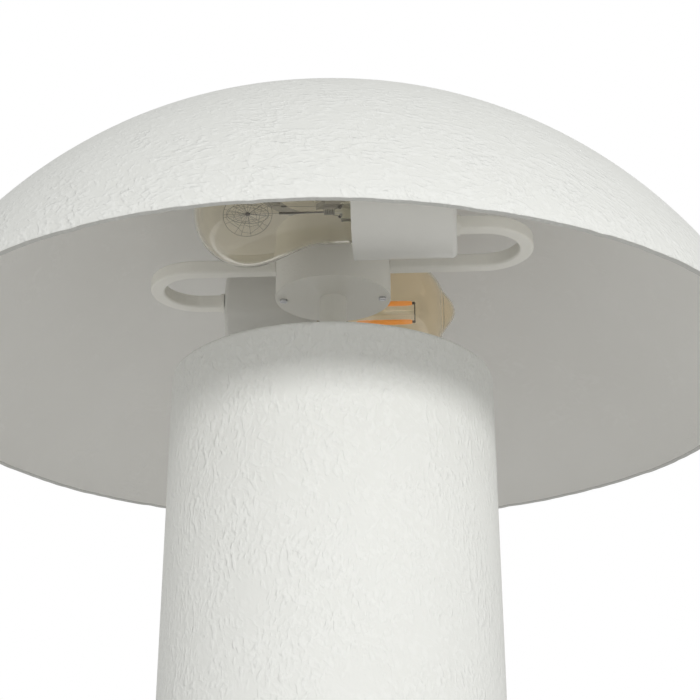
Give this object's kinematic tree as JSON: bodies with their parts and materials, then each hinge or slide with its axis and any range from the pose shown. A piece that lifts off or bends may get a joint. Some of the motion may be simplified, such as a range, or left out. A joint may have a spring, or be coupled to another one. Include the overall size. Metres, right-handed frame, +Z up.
{
  "type": "table lamp",
  "caption": "Plaster table lamp: shallow dome shade on a thick round body, with horizontal bulb sockets on bent arms between them.",
  "frame": {"origin": "on the table at the middle of the lamp, on the axis of body and shade", "axes": "+Z up; -Y is the side that the picture shows; the cord inlet is at +Y"},
  "size_m": [0.3999, 0.4, 0.509],
  "materials": {
    "plaster": "matte",
    "white_paint": "satin",
    "white_plastic": "satin",
    "core_ceramic": "gloss",
    "steel": "satin",
    "brass": "satin",
    "bulb_cap_metal": "satin",
    "iron": "matte",
    "base_board": "matte",
    "felt": "matte",
    "bushing_plastic": "matte",
    "connector_nylon": "matte",
    "lead_sleeve": "matte",
    "clear_bulb_glass": "gloss",
    "amber_bulb_glass": "gloss",
    "mount_glass": "gloss",
    "black_glass": "gloss",
    "solder": "satin",
    "filament_wire": "satin",
    "glow_bars": "matte"
  },
  "bodies": {
    "lamp": {"body_shell": "plaster", "shade_rest": "white_paint", "hub_housing": "white_paint", "hub_cover": "white_paint", "stem_tube": "white_paint", "stem_washer": "white_paint", "front_arm": "white_paint", "rear_arm": "white_paint", "front_socket_cap": "white_plastic", "rear_socket_cap": "white_plastic", "front_socket_shell": "white_plastic", "rear_socket_shell": "white_plastic", "front_socket_core": "core_ceramic", "rear_socket_core": "core_ceramic", "shade_rest_nut": "steel", "lamp_pipe": "steel", "hub_nut": "steel", "hub_washer": "steel", "hub_cover_screws": "steel", "weight_nut": "steel", "base_washer": "steel", "base_nut": "steel", "arm_nuts": "steel", "arm_washers": "steel", "core_screws": "steel", "front_screw_shell": "brass", "rear_screw_shell": "brass", "front_centre_contact": "brass", "rear_centre_contact": "brass", "terminal_screws": "brass", "base_weight": "iron", "base_plate": "base_board", "felt_pad": "felt", "cord_bushing": "bushing_plastic", "lead_connectors": "connector_nylon", "front_leads": "lead_sleeve", "rear_leads": "lead_sleeve"},
    "shade": {"shade_shell": "plaster", "crown_block": "plaster", "crown_plate": "steel", "crown_screws": "steel"},
    "front_bulb_slide": {"front_bulb_button": "solder"},
    "front_bulb": {"front_bulb_glass": "clear_bulb_glass", "front_bulb_cap": "bulb_cap_metal", "front_bulb_insulator": "black_glass", "front_bulb_stem": "mount_glass", "front_bulb_filament": "filament_wire"},
    "rear_bulb_slide": {"rear_bulb_button": "solder"},
    "rear_bulb": {"rear_bulb_glass": "amber_bulb_glass", "rear_bulb_cap": "bulb_cap_metal", "rear_bulb_insulator": "black_glass", "rear_bulb_stem": "mount_glass", "rear_bulb_filament": "glow_bars"}
  },
  "joints": [
    {"name": "shade_lift", "type": "slide", "parent": "lamp", "child": "shade", "axis": [0, 0, 1], "range_m": [0, 0.13]},
    {"name": "front_bulb_travel", "type": "slide", "parent": "lamp", "child": "front_bulb_slide", "axis": [-0.9981, 0.061, 0], "range_m": [0, 0.0256]},
    {"name": "front_bulb_turn", "type": "hinge", "parent": "front_bulb_slide", "child": "front_bulb", "pos_m": [0.05538, -0.061, 0.4455], "axis": [-0.9981, 0.061, 0], "range_deg": [0, 2520]},
    {"name": "rear_bulb_travel", "type": "slide", "parent": "lamp", "child": "rear_bulb_slide", "axis": [0.9981, -0.061, 0], "range_m": [0, 0.0256]},
    {"name": "rear_bulb_turn", "type": "hinge", "parent": "rear_bulb_slide", "child": "rear_bulb", "pos_m": [-0.05338, 0.06087, 0.4455], "axis": [0.9981, -0.061, 0], "range_deg": [0, 2520]}
  ],
  "couplings": [
    {"joint": "front_bulb_travel", "follows": "front_bulb_turn", "m_per_rad": 0.00057773},
    {"joint": "rear_bulb_travel", "follows": "rear_bulb_turn", "m_per_rad": 0.00057773}
  ]
}
